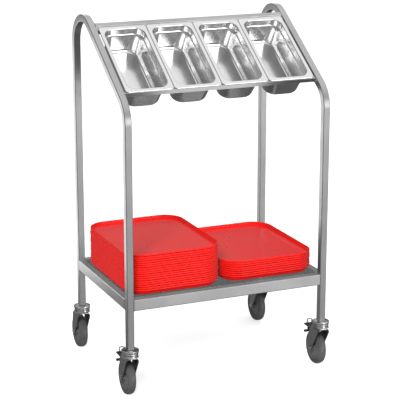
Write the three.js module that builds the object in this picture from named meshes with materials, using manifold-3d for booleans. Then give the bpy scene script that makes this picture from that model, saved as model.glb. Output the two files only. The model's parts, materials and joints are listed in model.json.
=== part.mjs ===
// Cutlery and tray trolley: two bent-tube side frames on four swivel castors, a flat lower shelf
// with two stacks of serving trays, and a sloping top that holds four lift-out food pans.
// Millimetres, +Z up, +X to the user's right, +Y away from the user. The floor is z = 0 and the
// origin is under the middle of the trolley's footprint.

import * as THREE from 'three';
import { mergeVertices } from 'three/addons/utils/BufferGeometryUtils.js';
import Module from 'manifold-3d';

const wasm = await Module();
wasm.setup();

// ---------------------------------------------------------------- driving dimensions

const FIT = 0.3;                    // gap between pieces that touch or are welded together

const FRAME_WIDTH = 765;            // over the outer faces of the two side frames
const FRAME_DEPTH = 532;            // over the front and rear faces of the legs
const TUBE = 25;                    // square tube of the side frames
const TUBE_WALL = 1.5;
const TUBE_CORNER = 2.5;            // rounding of the tube's outer edges
const TUBE_INNER_CORNER = 0.75;
const BEND_RADIUS = 97.5;           // to the tube's centre line
const REAR_BEND_STEPS = 9;
const FRONT_BEND_STEPS = 5;
const LEG_BOTTOM = 176;
const SLOPE = THREE.MathUtils.degToRad(33.6);
const SLOPE_HEIGHT = 1197;          // top of the sloping tubes above the trolley's middle

const SHELF_TOP = 356;
const SHELF_RAIL_HEIGHT = 40;
const SHELF_SHEET = 1.2;
const SHELF_LIP = 18;               // turned-down edge of the shelf sheet
const SHELF_FOLD = 1.5;             // rounding of the sheet's folded edges
const SHELF_DROP = 0.5;             // shelf sheet below the top of its rails

const PAN_WIDTH = 176;              // one-third gastronorm size
const PAN_LENGTH = 325;
const PAN_DEPTH = 100;
const PAN_PITCH = 176.4;
const PAN_COUNT = 4;
const PAN_SHEET = 1.2;
const PAN_LIP = 4;                  // turned-down edge of the pan's flange
const PAN_CORNER = 12;              // rounding of the flange's corners
const PAN_FRONT = -242;             // front edge of the flanges, along the slope from the middle
const PAN_BOWL_INSET = 13.5;        // flange edge to the inside of the bowl
const PAN_STEP_DEPTH = 23;          // stacking step in the bowl's wall
const PAN_RAIL_DEPTH = 22;
const PAN_RAIL_WIDTH = 11;
const PAN_RAIL_WALL = 1.5;
const PAN_REAR_TUBE_WIDTH = 18.5;   // raised part of the rear rail
const PAN_SEAT_GAP = 5.5;           // pan flange to the raised part of the rear rail

const TRAY_WIDTH = 360;
const TRAY_LENGTH = 451;
const TRAY_HEIGHT = 20.5;
const TRAY_SHEET = 2.2;
const TRAY_CORNER = 74;
const TRAY_RIM = 4;                 // width of the level rim
const TRAY_FLOOR_INSET = 14;        // rim's edge to the flat floor
const TRAY_WALL = 2.4;              // leaning side's thickness, measured level
const TRAY_PITCH = 7.9;             // rise of each nested tray
const TRAY_SLACK = 0.7;             // how far a tray sits off the middle of its stack
const TRAY_STACKS = [
  { side: 'left', count: 17, x: -186.5, y: -11.5 },
  { side: 'right', count: 8, x: 182.5, y: -2 },
];

const WHEEL_RADIUS = 62.5;
const WHEEL_TRAIL = 36;             // swivel axis to axle
const WHEEL_SEGMENTS = 20;          // hub and tyre share them, so that one fits inside the other
const CASTOR_YAW = THREE.MathUtils.degToRad(2.5);
const TYRE_WIDTH = 30;
const RIM_RADIUS = 45;
const RIM_WIDTH = 26;
const RIM_THICKNESS = 4;
const HUB_WIDTH = 36;
const HUB_RADIUS = 12;
const HUB_BORE = 4.8;               // radius
const WEB_THICKNESS = 10;

const AXLE_RADIUS = 4;
const AXLE_HOLE = 4.5;
const BOLT_HEAD_RADIUS = 7;         // over the points of the hexagon
const BOLT_HEAD_HEIGHT = 5;
const FORK_INSIDE = 20.5;           // wheel's middle plane to the inner face of a fork leg
const FORK_SHEET = 2.5;
const FORK_BEND = 9;                // rounding of the crown's two long edges
const FORK_FRONT = -29;             // crown's reach ahead of the swivel axis
const FORK_REAR = 39;
const FORK_EYE = 14;                // rounding of the leg about the axle
const FORK_TOP = 150;

const RACE_SEGMENTS = 16;
const RACE_TOP = 159.5;
const RACE_RADIUS = 28;
const RACE_GAP = 0.5;
const KINGPIN_RADIUS = 6;
const KINGPIN_HOLE = 6.6;
const KINGPIN_HEAD_RADIUS = 10;
const KINGPIN_HEAD_HEIGHT = 3.5;
const HOUSING_RADIUS = 31;
const HOUSING_RIM = 8;              // height of the housing's straight side
const STEM_RADIUS = 9.5;
const STEM_LENGTH = 50;

const PEDAL_PIVOT = { y: 28, z: 135 };
const PEDAL_HALF_WIDTH = 20;
const PEDAL_REAR = 101;             // pad's reach behind the swivel axis
const PEDAL_ARM = 3.3;              // thickness of each side arm
const TRUNNION_RADIUS = 3;
const TRUNNION_HOLE = 3.5;
const LOOP_WIDTH = 22;
const LOOP_HEIGHT = 19;
const LOOP_BAR = 3.5;

const STEEL = { color: 0xb9bab8, roughness: 0.38, metalness: 0.95 };
const SHELF_STEEL = { color: 0xc4c5c3, roughness: 0.22, metalness: 1 };
const PAN_STEEL = { color: 0xd2d3d2, roughness: 0.15, metalness: 1 };
const ZINC = { color: 0xa9abab, roughness: 0.35, metalness: 0.9 };
const BRIGHT_ZINC = { color: 0xc6c8c8, roughness: 0.25, metalness: 0.95 };
const GREY_POLYMER = { color: 0x6d6e6c, roughness: 0.5, metalness: 0 };
const GREY_RUBBER = { color: 0x4c4d4b, roughness: 0.75, metalness: 0 };
const BLACK_POLYMER = { color: 0x222324, roughness: 0.55, metalness: 0 };
const RED_POLYMER = { color: 0xe4231c, roughness: 0.3, metalness: 0 };

const LEG_X = (FRAME_WIDTH - TUBE) / 2;
const LEG_Y = (FRAME_DEPTH - TUBE) / 2;
const INSIDE_X = FRAME_WIDTH / 2 - TUBE;
const INSIDE_Y = FRAME_DEPTH / 2 - TUBE;
const QUARTER = Math.PI / 2;

// ---------------------------------------------------------------- geometry helpers

function signedVolume(geometry) {
  const position = geometry.getAttribute('position');
  const index = geometry.getIndex();
  const corner = [new THREE.Vector3(), new THREE.Vector3(), new THREE.Vector3()];
  let volume = 0;
  for (let i = 0; i < index.count; i += 3) {
    corner.forEach((point, k) => point.fromBufferAttribute(position, index.getX(i + k)));
    volume += corner[0].dot(corner[1].cross(corner[2])) / 6;
  }
  return volume;
}

// The same surface with shared vertices, no collapsed triangles, and its faces turned outwards.
function closed(geometry) {
  const bare = new THREE.BufferGeometry();
  bare.setAttribute('position', geometry.getAttribute('position').clone());
  bare.setIndex(geometry.getIndex());
  const merged = mergeVertices(bare, 1e-3);
  const inwards = signedVolume(merged) < 0;
  const index = merged.getIndex().array;
  const kept = [];
  for (let i = 0; i < index.length; i += 3) {
    const [a, b, c] = [index[i], index[i + 1], index[i + 2]];
    if (a === b || b === c || c === a) continue;
    if (inwards) kept.push(b, a, c);
    else kept.push(a, b, c);
  }
  merged.setIndex(kept);
  return merged;
}

function solid(geometry) {
  const shape = closed(geometry);
  return new wasm.Manifold(new wasm.Mesh({
    numProp: 3,
    vertProperties: Float32Array.from(shape.getAttribute('position').array),
    triVerts: Uint32Array.from(shape.getIndex().array),
  }));
}

function geometryOf(manifold) {
  const mesh = manifold.getMesh();
  const geometry = new THREE.BufferGeometry();
  geometry.setAttribute('position', new THREE.BufferAttribute(mesh.vertProperties, 3));
  geometry.setIndex(new THREE.BufferAttribute(mesh.triVerts, 1));
  return geometry;
}

function joined(geometries) {
  return geometryOf(geometries.map(solid).reduce((sum, next) => sum.add(next)));
}

function cut(geometry, tools) {
  return geometryOf(tools.map(solid).reduce((rest, tool) => rest.subtract(tool), solid(geometry)));
}

// Joins rings of equally many points into one skin: capped at both ends, or closed on itself.
function loft(rings, wraps = false) {
  const count = rings[0].length;
  const index = [];
  const bands = wraps ? rings.length : rings.length - 1;
  for (let band = 0; band < bands; band += 1) {
    const low = band * count;
    const high = ((band + 1) % rings.length) * count;
    for (let i = 0; i < count; i += 1) {
      const j = (i + 1) % count;
      index.push(low + i, low + j, high + j, low + i, high + j, high + i);
    }
  }
  if (!wraps) {
    const last = (rings.length - 1) * count;
    for (let i = 1; i < count - 1; i += 1) {
      index.push(0, i + 1, i);
      index.push(last, last + i, last + i + 1);
    }
  }
  const geometry = new THREE.BufferGeometry().setFromPoints(rings.flat());
  geometry.setIndex(index);
  return geometry;
}

// A level ring of points round a rectangle with rounded corners.
function ring(width, length, radius, z, cornerSteps = 3) {
  const [x, y] = [width / 2 - radius, length / 2 - radius];
  const corners = [[x, y], [-x, y], [-x, -y], [x, -y]];
  return corners.flatMap(([centreX, centreY], k) => (
    new THREE.EllipseCurve(centreX, centreY, radius, radius, k * QUARTER, (k + 1) * QUARTER)
      .getPoints(cornerSteps)
      .map((point) => new THREE.Vector3(point.x, point.y, z))
  ));
}

// Rings from [inset, corner radius, height] rows, each inset from one outer rectangle.
function levelRings(width, length, levels) {
  return levels.map(([inset, radius, z]) => (
    ring(width - 2 * inset, length - 2 * inset, radius, z)
  ));
}

function box(x, y, z) {
  const size = [x, y, z].map(([low, high]) => high - low);
  const middle = [x, y, z].map(([low, high]) => (high + low) / 2);
  return new THREE.BoxGeometry(...size).translate(...middle);
}

// A solid of revolution about +Z from [radius, height] pairs.
function turned(profile, segments) {
  const points = profile.map(([radius, height]) => new THREE.Vector2(radius, height));
  return new THREE.LatheGeometry(points, segments).rotateX(QUARTER);
}

// A shape in (y, z), drawn out along x and centred on x = 0.
function alongX(shape, width, curveSegments = 4) {
  return new THREE.ExtrudeGeometry(shape, { depth: width, bevelEnabled: false, curveSegments })
    .rotateX(QUARTER)
    .rotateZ(QUARTER)
    .translate(-width / 2, 0, 0);
}

// A shape in (x, z), drawn out along y and centred on y = 0.
function alongY(shape, length, curveSegments = 4) {
  return new THREE.ExtrudeGeometry(shape, { depth: length, bevelEnabled: false, curveSegments })
    .rotateX(QUARTER)
    .translate(0, length / 2, 0);
}

function roundBar(radius, length, sides) {
  return new THREE.CylinderGeometry(radius, radius, length, sides).rotateZ(QUARTER);
}

function polygon(points) {
  return new THREE.Shape(points.map(([a, b]) => new THREE.Vector2(a, b)));
}

function addPiece(parent, name, geometry, look) {
  const mesh = new THREE.Mesh(closed(geometry), new THREE.MeshStandardMaterial(look));
  mesh.name = name;
  parent.add(mesh);
  return mesh;
}

const cart = new THREE.Group();

// ---------------------------------------------------------------- side frames

// Stations along the bent tube's centre line: [y, z, direction], direction being the angle of
// travel in the (y, z) plane. The path runs up the rear leg, over the top bend, down the slope,
// round the front bend and down the front leg, always turning the same way.
function tubeStations() {
  const up = QUARTER;
  const downSlope = Math.PI + SLOPE;
  const down = 3 * QUARTER;
  const centreHeight = SLOPE_HEIGHT - TUBE / 2 / Math.cos(SLOPE);
  const bend = (y, from, to, steps) => {
    const z = centreHeight + y * Math.tan(SLOPE) - BEND_RADIUS / Math.cos(SLOPE);
    return Array.from({ length: steps + 1 }, (_, i) => {
      const direction = from + (to - from) * i / steps;
      return [
        y + BEND_RADIUS * Math.sin(direction),
        z - BEND_RADIUS * Math.cos(direction),
        direction,
      ];
    });
  };
  return [
    [LEG_Y, LEG_BOTTOM, up],
    ...bend(LEG_Y - BEND_RADIUS, up, downSlope, REAR_BEND_STEPS),
    ...bend(BEND_RADIUS - LEG_Y, downSlope, down, FRONT_BEND_STEPS),
    [-LEG_Y, LEG_BOTTOM, down],
  ];
}

function tubeRings(size, corner) {
  return tubeStations().map(([y, z, direction]) => (
    ring(size, size, corner, 0, 1).map((point) => new THREE.Vector3(
      point.x,
      y - point.y * Math.sin(direction),
      z + point.y * Math.cos(direction),
    ))
  ));
}

function sideFrame() {
  const outside = tubeRings(TUBE, TUBE_CORNER);
  const inside = tubeRings(TUBE - 2 * TUBE_WALL, TUBE_INNER_CORNER);
  return loft([...outside, ...inside.reverse()], true);
}

addPiece(cart, 'side_frame_left', sideFrame(), STEEL).position.x = -LEG_X;
addPiece(cart, 'side_frame_right', sideFrame(), STEEL).position.x = LEG_X;

// ---------------------------------------------------------------- lower shelf

// An open-ended rectangular tube along x.
function shelfRail(length) {
  const endRing = (width, height, corner, x) => (
    ring(width, height, corner, 0, 1).map((point) => new THREE.Vector3(x, point.x, point.y))
  );
  const outside = (x) => endRing(TUBE, SHELF_RAIL_HEIGHT, TUBE_CORNER, x);
  const inside = (x) => endRing(
    TUBE - 2 * TUBE_WALL,
    SHELF_RAIL_HEIGHT - 2 * TUBE_WALL,
    TUBE_INNER_CORNER,
    x,
  );
  const half = length / 2;
  return loft([outside(-half), outside(half), inside(half), inside(-half)], true);
}

// A sheet with its four edges folded down, open underneath.
function shelfSheet() {
  const [width, length] = [2 * (INSIDE_X - FIT), 2 * (INSIDE_Y - FIT)];
  const levels = [
    [SHELF_FOLD, SHELF_FOLD, 0],
    [0, SHELF_FOLD, -SHELF_FOLD],
    [0, SHELF_FOLD, -SHELF_LIP],
    [SHELF_SHEET, SHELF_FOLD, -SHELF_LIP],
    [SHELF_SHEET, SHELF_FOLD, -SHELF_SHEET - SHELF_FOLD],
    [SHELF_SHEET + SHELF_FOLD, SHELF_FOLD, -SHELF_SHEET],
  ];
  return loft(levels.map(([inset, radius, z]) => (
    ring(width - 2 * inset, length - 2 * inset, radius, z, 1)
  )));
}

const RAIL_Z = SHELF_TOP - SHELF_RAIL_HEIGHT / 2;
for (const [name, side] of [['front', -1], ['rear', 1]]) {
  const rail = addPiece(cart, `shelf_rail_${name}`, shelfRail(2 * (INSIDE_X - FIT)), STEEL);
  rail.position.set(0, side * LEG_Y, RAIL_Z);
}
for (const [name, side] of [['left', -1], ['right', 1]]) {
  const rail = addPiece(cart, `shelf_rail_${name}`, shelfRail(2 * (INSIDE_Y - FIT)), STEEL);
  rail.position.set(side * LEG_X, 0, RAIL_Z);
  rail.rotation.z = QUARTER;
}
addPiece(cart, 'shelf_panel', shelfSheet(), SHELF_STEEL).position.z = SHELF_TOP - SHELF_DROP;

// ---------------------------------------------------------------- sloping pan holder

// Inside this group y runs up the slope and z stands square to it, from the tubes' top plane.
const slope = new THREE.Group();
slope.position.z = SLOPE_HEIGHT;
slope.rotation.x = SLOPE;
cart.add(slope);

const PAN_RAIL_SPAN = 2 * (INSIDE_X - FIT);
const PAN_REAR = PAN_FRONT + PAN_LENGTH;
const SEAT_Z = -(PAN_LIP + FIT);    // the flanges' turned-down edges rest on the rails

function frontPanRail() {
  const wall = PAN_RAIL_WALL;
  const [front, back] = [PAN_FRONT, PAN_FRONT + PAN_RAIL_WIDTH];
  const shape = polygon([
    [front, SEAT_Z],
    [front, -PAN_RAIL_DEPTH],
    [back, -PAN_RAIL_DEPTH],
    [back, SEAT_Z],
  ]);
  shape.holes.push(polygon([
    [front + wall, SEAT_Z - wall],
    [back - wall, SEAT_Z - wall],
    [back - wall, wall - PAN_RAIL_DEPTH],
    [front + wall, wall - PAN_RAIL_DEPTH],
  ]));
  return alongX(shape, PAN_RAIL_SPAN);
}

// The rear rail is one folded section: a raised tube flush with the side frames, and a lower seat
// in front of it for the pans' rear flanges.
function rearPanRail() {
  const wall = PAN_RAIL_WALL;
  const seat = PAN_REAR - PAN_RAIL_WIDTH;
  const step = PAN_REAR + PAN_SEAT_GAP;
  const back = step + PAN_REAR_TUBE_WIDTH;
  const shape = polygon([
    [step, 0],
    [step, SEAT_Z],
    [seat, SEAT_Z],
    [seat, -PAN_RAIL_DEPTH],
    [back, -PAN_RAIL_DEPTH],
    [back, 0],
  ]);
  shape.holes.push(polygon([
    [step + wall, -wall],
    [back - wall, -wall],
    [back - wall, wall - PAN_RAIL_DEPTH],
    [seat + wall, wall - PAN_RAIL_DEPTH],
    [seat + wall, SEAT_Z - wall],
    [step + wall, SEAT_Z - wall],
  ]));
  return alongX(shape, PAN_RAIL_SPAN);
}

// A pan is one skin, from the inside of its floor up and over the flange, and down its outside to
// the underside of the floor. The bowl's wall has a stacking step near the top, and its corners
// widen towards the floor.
function pan() {
  const wall = PAN_SHEET;
  const floor = -PAN_DEPTH;
  const mouth = PAN_BOWL_INSET;
  const step = -PAN_STEP_DEPTH;
  return loft(levelRings(PAN_WIDTH, PAN_LENGTH, [
    [mouth + 20, 34, floor + wall],
    [mouth + 8, 40, floor + 5],
    [mouth + 5.5, 38, floor + 14],
    [mouth + 2.5, 33, step - 3],
    [mouth + 0.5, 31, step],
    [mouth - 1, 30, 0],
    [0, PAN_CORNER, 0],
    [0, PAN_CORNER, -PAN_LIP],
    [wall, PAN_CORNER - wall, -PAN_LIP],
    [wall, PAN_CORNER - wall, -wall],
    [mouth - wall, 31, -wall],
    [mouth + 0.5 - wall, 32, step - 0.8],
    [mouth + 2.5 - wall, 34, step - 3.8],
    [mouth + 5.5 - wall, 39, floor + 13.6],
    [mouth + 8 - wall, 41, floor + 4],
    [mouth + 20, 35, floor],
  ]));
}

addPiece(slope, 'pan_rail_front', frontPanRail(), STEEL);
addPiece(slope, 'pan_rail_rear', rearPanRail(), STEEL);
for (let i = 0; i < PAN_COUNT; i += 1) {
  const piece = addPiece(slope, `pan_${i + 1}`, pan(), PAN_STEEL);
  piece.position.x = (i - (PAN_COUNT - 1) / 2) * PAN_PITCH;
  piece.position.y = (PAN_FRONT + PAN_REAR) / 2;
}

// ---------------------------------------------------------------- serving trays

// A shallow tray: flat floor, leaning sides and a level rim, with concentric corners.
function tray() {
  const lean = (TRAY_FLOOR_INSET - TRAY_RIM) / (TRAY_HEIGHT - TRAY_SHEET);
  const underside = lean * TRAY_SHEET - TRAY_WALL;
  return loft(levelRings(TRAY_WIDTH, TRAY_LENGTH, [
    [TRAY_FLOOR_INSET, TRAY_SHEET],
    [TRAY_RIM, TRAY_HEIGHT],
    [0, TRAY_HEIGHT],
    [0, TRAY_HEIGHT - TRAY_SHEET],
    [TRAY_RIM + underside, TRAY_HEIGHT - TRAY_SHEET],
    [TRAY_FLOOR_INSET + underside, 0],
  ].map(([inset, z]) => [inset, TRAY_CORNER - inset, z])));
}

// Trays are dropped on a stack by hand, so each one sits a little off its middle.
function offMiddle(i) {
  return [TRAY_SLACK * Math.sin(1.7 * i), TRAY_SLACK * Math.cos(2.3 * i)];
}

for (const stack of TRAY_STACKS) {
  for (let i = 0; i < stack.count; i += 1) {
    const number = String(i + 1).padStart(2, '0');
    const piece = addPiece(cart, `tray_${stack.side}_${number}`, tray(), RED_POLYMER);
    const [x, y] = offMiddle(i);
    piece.position.set(stack.x + x, stack.y + y, SHELF_TOP + FIT + TRAY_PITCH * i);
  }
}

// ---------------------------------------------------------------- castors

// Each castor is modelled about its own swivel axis, with the wheel trailing along +y.

// The fixed half of the swivel: a stem that plugs the leg, the housing of the upper race under
// it, and the kingpin with its riveted end.
function castorMount() {
  const top = LEG_BOTTOM - FIT;
  const underCrown = FORK_TOP - FORK_SHEET - RACE_GAP;
  return turned([
    [0, LEG_BOTTOM + STEM_LENGTH],
    [STEM_RADIUS, LEG_BOTTOM + STEM_LENGTH],
    [STEM_RADIUS, top],
    [HOUSING_RADIUS, top],
    [HOUSING_RADIUS, top - HOUSING_RIM],
    [RACE_RADIUS - 2, RACE_TOP + RACE_GAP],
    [KINGPIN_RADIUS, RACE_TOP + RACE_GAP],
    [KINGPIN_RADIUS, underCrown],
    [KINGPIN_HEAD_RADIUS, underCrown],
    [KINGPIN_HEAD_RADIUS - 1, underCrown - KINGPIN_HEAD_HEIGHT],
    [0, underCrown - KINGPIN_HEAD_HEIGHT],
  ], RACE_SEGMENTS);
}

// The fork's section in (x, z): an upside-down U of one thickness.
function forkSection() {
  const outer = FORK_INSIDE + FORK_SHEET;
  const inner = FORK_INSIDE;
  const crown = FORK_TOP - FORK_SHEET;
  const shoulder = FORK_TOP - FORK_BEND;
  const innerBend = FORK_BEND - FORK_SHEET;
  const shape = new THREE.Shape();
  shape.moveTo(-outer, 0);
  shape.lineTo(-outer, shoulder);
  shape.quadraticCurveTo(-outer, FORK_TOP, FORK_BEND - outer, FORK_TOP);
  shape.lineTo(outer - FORK_BEND, FORK_TOP);
  shape.quadraticCurveTo(outer, FORK_TOP, outer, shoulder);
  shape.lineTo(outer, 0);
  shape.lineTo(inner, 0);
  shape.lineTo(inner, shoulder);
  shape.quadraticCurveTo(inner, crown, inner - innerBend, crown);
  shape.lineTo(innerBend - inner, crown);
  shape.quadraticCurveTo(-inner, crown, -inner, shoulder);
  shape.lineTo(-inner, 0);
  return shape;
}

// The fork's side view in (y, z): a broad crown whose legs narrow to a round eye at the axle.
function forkSideView() {
  const over = FORK_TOP + 5;
  const shoulder = FORK_TOP - 8;
  const shape = new THREE.Shape();
  shape.moveTo(FORK_FRONT, over);
  shape.lineTo(FORK_FRONT, shoulder);
  shape.quadraticCurveTo(FORK_FRONT + 2, shoulder - 10, FORK_FRONT + 14, shoulder - 20);
  shape.absarc(WHEEL_TRAIL, WHEEL_RADIUS, FORK_EYE, 1.17 * Math.PI, 2 * Math.PI);
  shape.quadraticCurveTo(FORK_REAR + 7, FORK_TOP - 38, FORK_REAR + 2, shoulder);
  shape.lineTo(FORK_REAR, over);
  return shape;
}

// A pressed fork: the U of sheet steel trimmed to its side view, with the lower race on top, and
// holes for the kingpin, the axle bolt and, on a braked castor, the pedal's trunnions.
function fork(braked) {
  const across = 4 * FORK_INSIDE;
  const section = alongY(forkSection(), across, 2).translate(0, (FORK_FRONT + FORK_REAR) / 2, 0);
  const sideView = alongX(forkSideView(), across, 5);
  const pressed = geometryOf(solid(section).intersect(solid(sideView)));
  const race = turned([
    [0, FORK_TOP - 1],
    [RACE_RADIUS, FORK_TOP - 1],
    [RACE_RADIUS, RACE_TOP],
    [0, RACE_TOP],
  ], RACE_SEGMENTS);
  const kingpinHole = turned([
    [0, FORK_TOP - across / 2],
    [KINGPIN_HOLE, FORK_TOP - across / 2],
    [KINGPIN_HOLE, FORK_TOP + across / 2],
    [0, FORK_TOP + across / 2],
  ], RACE_SEGMENTS);
  const tools = [
    kingpinHole,
    roundBar(AXLE_HOLE, across, 12).translate(0, WHEEL_TRAIL, WHEEL_RADIUS),
  ];
  if (braked) {
    tools.push(roundBar(TRUNNION_HOLE, across, 10).translate(0, PEDAL_PIVOT.y, PEDAL_PIVOT.z));
  }
  return cut(joined([pressed, race]), tools);
}

// The axle bolt with its hexagon head and nut.
function axleBolt() {
  const outside = FORK_INSIDE + FORK_SHEET + FIT;
  const hexagon = (side) => roundBar(BOLT_HEAD_RADIUS, BOLT_HEAD_HEIGHT, 6)
    .translate(side * (outside + BOLT_HEAD_HEIGHT / 2), 0, 0);
  return joined([roundBar(AXLE_RADIUS, 2 * (outside + 1), 12), hexagon(-1), hexagon(1)])
    .translate(0, WHEEL_TRAIL, WHEEL_RADIUS);
}

// A ring turned about the axle from one half of its closed section, [radius, x] pairs.
function wheelRing(half) {
  const otherHalf = half.map(([radius, x]) => [radius, -x]).reverse();
  return turned([...half, ...otherHalf, half[0]], WHEEL_SEGMENTS)
    .rotateY(QUARTER)
    .translate(0, WHEEL_TRAIL, WHEEL_RADIUS);
}

function hub() {
  return wheelRing([
    [HUB_BORE, HUB_WIDTH / 2],
    [HUB_RADIUS - 1, HUB_WIDTH / 2],
    [HUB_RADIUS, WEB_THICKNESS / 2],
    [RIM_RADIUS - RIM_THICKNESS - 2, WEB_THICKNESS / 2],
    [RIM_RADIUS - RIM_THICKNESS, RIM_WIDTH / 2],
    [RIM_RADIUS, RIM_WIDTH / 2],
  ]);
}

function tyre() {
  const half = TYRE_WIDTH / 2;
  return wheelRing([
    [RIM_RADIUS + FIT, RIM_WIDTH / 2],
    [RIM_RADIUS + 5, half],
    [WHEEL_RADIUS - 5, half - 1],
    [WHEEL_RADIUS - 1, half * 0.55],
    [WHEEL_RADIUS, half * 0.2],
  ]);
}

// The brake: a foot pad on two arms that hang on trunnions inside the fork, a stiff loop that
// stands at the pad's end, and a spine that carries the shoe behind the wheel.
function brakePedal() {
  const padFront = 46;
  const shoe = { front: PEDAL_REAR - 8.5, low: 101, high: 110 };
  const spine = { half: 8, front: PEDAL_REAR - 10, rear: PEDAL_REAR - 5, high: 132 };
  const pad = polygon([
    [padFront, 131],
    [PEDAL_REAR - 6, 130],
    [PEDAL_REAR, 131],
    [PEDAL_REAR, 135],
    [PEDAL_REAR - 6, 137],
    [PEDAL_REAR - 37, 138],
    [padFront, 141],
  ]);
  const loopShape = polygon([
    [-LOOP_WIDTH / 2, 0],
    [LOOP_WIDTH / 2, 0],
    [LOOP_WIDTH / 2, LOOP_HEIGHT],
    [-LOOP_WIDTH / 2, LOOP_HEIGHT],
  ]);
  loopShape.holes.push(polygon([
    [LOOP_BAR - LOOP_WIDTH / 2, LOOP_BAR],
    [LOOP_BAR - LOOP_WIDTH / 2, LOOP_HEIGHT - LOOP_BAR],
    [LOOP_WIDTH / 2 - LOOP_BAR, LOOP_HEIGHT - LOOP_BAR],
    [LOOP_WIDTH / 2 - LOOP_BAR, LOOP_BAR],
  ]));
  const pieces = [
    alongX(pad, 2 * PEDAL_HALF_WIDTH),
    alongY(loopShape, 3).translate(0, PEDAL_REAR - 5.5, 134.5),
    box([-spine.half, spine.half], [spine.front, spine.rear], [shoe.low + 3, spine.high]),
    box([-PEDAL_HALF_WIDTH, PEDAL_HALF_WIDTH], [shoe.front, PEDAL_REAR], [shoe.low, shoe.high]),
  ];
  const armOutside = PEDAL_HALF_WIDTH - 0.2;
  const trunnionLength = FORK_SHEET + 1.4;
  for (const side of [-1, 1]) {
    const armX = [side * armOutside, side * (armOutside - PEDAL_ARM)].sort((a, b) => a - b);
    pieces.push(box(armX, [PEDAL_PIVOT.y - 8, padFront + 4], [129, 141]));
    pieces.push(roundBar(TRUNNION_RADIUS, trunnionLength, 10).translate(
      side * (armOutside + trunnionLength / 2 - 1),
      PEDAL_PIVOT.y,
      PEDAL_PIVOT.z,
    ));
  }
  return joined(pieces);
}

const CASTORS = [
  { name: 'front_left', x: -LEG_X, y: -LEG_Y, braked: true },
  { name: 'front_right', x: LEG_X, y: -LEG_Y, braked: true },
  { name: 'rear_left', x: -LEG_X, y: LEG_Y, braked: false },
  { name: 'rear_right', x: LEG_X, y: LEG_Y, braked: false },
];

for (const castor of CASTORS) {
  const place = new THREE.Group();
  place.position.set(castor.x, castor.y, 0);
  place.rotation.z = -CASTOR_YAW;
  cart.add(place);
  const label = `castor_${castor.name}`;
  addPiece(place, `${label}_mount`, castorMount(), BRIGHT_ZINC);
  addPiece(place, `${label}_fork`, fork(castor.braked), ZINC);
  addPiece(place, `${label}_axle_bolt`, axleBolt(), BRIGHT_ZINC);
  addPiece(place, `${label}_hub`, hub(), GREY_POLYMER);
  addPiece(place, `${label}_tyre`, tyre(), GREY_RUBBER);
  if (castor.braked) addPiece(place, `${label}_brake_pedal`, brakePedal(), BLACK_POLYMER);
}

// The origin is under the middle of the whole footprint, castors included.
const footprint = new THREE.Box3().setFromObject(cart, true);
const middle = footprint.getCenter(new THREE.Vector3());
cart.position.set(-middle.x, -middle.y, -footprint.min.z);

export default cart;
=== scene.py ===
"""Looks for the cutlery and tray trolley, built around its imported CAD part.

The sizes of meshes are written in millimetres, in the frame of each part, and turned into metres
when a mesh is made. Places of the camera, the lamps and the joints are in metres. The trolley stands
on z = 0, its low front edge towards -Y.
"""

import json
import math

import bmesh
import bpy
from mathutils import Matrix, Vector

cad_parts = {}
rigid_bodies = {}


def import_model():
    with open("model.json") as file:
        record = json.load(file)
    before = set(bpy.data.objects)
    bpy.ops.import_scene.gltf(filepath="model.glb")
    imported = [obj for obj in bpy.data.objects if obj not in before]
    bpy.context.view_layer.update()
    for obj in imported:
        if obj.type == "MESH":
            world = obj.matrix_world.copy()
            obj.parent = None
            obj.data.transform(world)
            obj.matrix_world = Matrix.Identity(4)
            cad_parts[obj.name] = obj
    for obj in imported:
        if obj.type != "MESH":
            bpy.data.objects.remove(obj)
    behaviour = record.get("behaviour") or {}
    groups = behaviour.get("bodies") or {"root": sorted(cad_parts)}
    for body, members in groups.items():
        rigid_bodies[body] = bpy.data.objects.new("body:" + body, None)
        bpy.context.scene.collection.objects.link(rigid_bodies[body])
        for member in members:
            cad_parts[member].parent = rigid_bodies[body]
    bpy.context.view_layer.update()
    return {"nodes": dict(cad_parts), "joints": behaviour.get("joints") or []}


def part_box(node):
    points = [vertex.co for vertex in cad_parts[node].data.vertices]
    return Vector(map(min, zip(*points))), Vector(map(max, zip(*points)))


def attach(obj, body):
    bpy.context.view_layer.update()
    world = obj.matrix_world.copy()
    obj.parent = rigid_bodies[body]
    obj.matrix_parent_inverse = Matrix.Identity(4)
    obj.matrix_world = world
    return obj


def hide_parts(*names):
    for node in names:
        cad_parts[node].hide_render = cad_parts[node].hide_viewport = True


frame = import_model()
JOINTS = {joint["name"]: joint for joint in frame["joints"]}
MM = 0.001

# ------------------------------------------------------------------ places, from the CAD


def extent_in(node, placement):
    """Lowest and highest corner of a CAD node in a placement's own frame, in millimetres."""
    back = placement.inverted()
    points = [back @ vertex.co for vertex in frame["nodes"][node].data.vertices]
    low = Vector([min(p[k] for p in points) for k in range(3)]) / MM
    high = Vector([max(p[k] for p in points) for k in range(3)]) / MM
    return low, high


LEFT_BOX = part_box("side_frame_left")
RIGHT_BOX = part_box("side_frame_right")
TUBE = (LEFT_BOX[1].x - LEFT_BOX[0].x) / MM
MIDDLE_Y = (LEFT_BOX[0].y + LEFT_BOX[1].y) / 2
LEG_Y = (LEFT_BOX[1].y - LEFT_BOX[0].y) / MM / 2 - TUBE / 2
LEG_X = (RIGHT_BOX[1].x - LEFT_BOX[0].x) / MM / 2 - TUBE / 2
LEG_BOTTOM = LEFT_BOX[0].z / MM
SLOPE_NORMAL = Vector(JOINTS["pan_1_lift"]["axis"]).normalized()
SLOPE = math.atan2(-SLOPE_NORMAL.y, SLOPE_NORMAL.z)
CART = Matrix.Translation((0, MIDDLE_Y, 0))
TILTED = CART @ Matrix.Rotation(SLOPE, 4, "X")
SLOPE_TOP = extent_in("pan_rail_rear", TILTED)[1].z
SLOPE_HEIGHT = SLOPE_TOP / math.cos(SLOPE)
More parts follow.
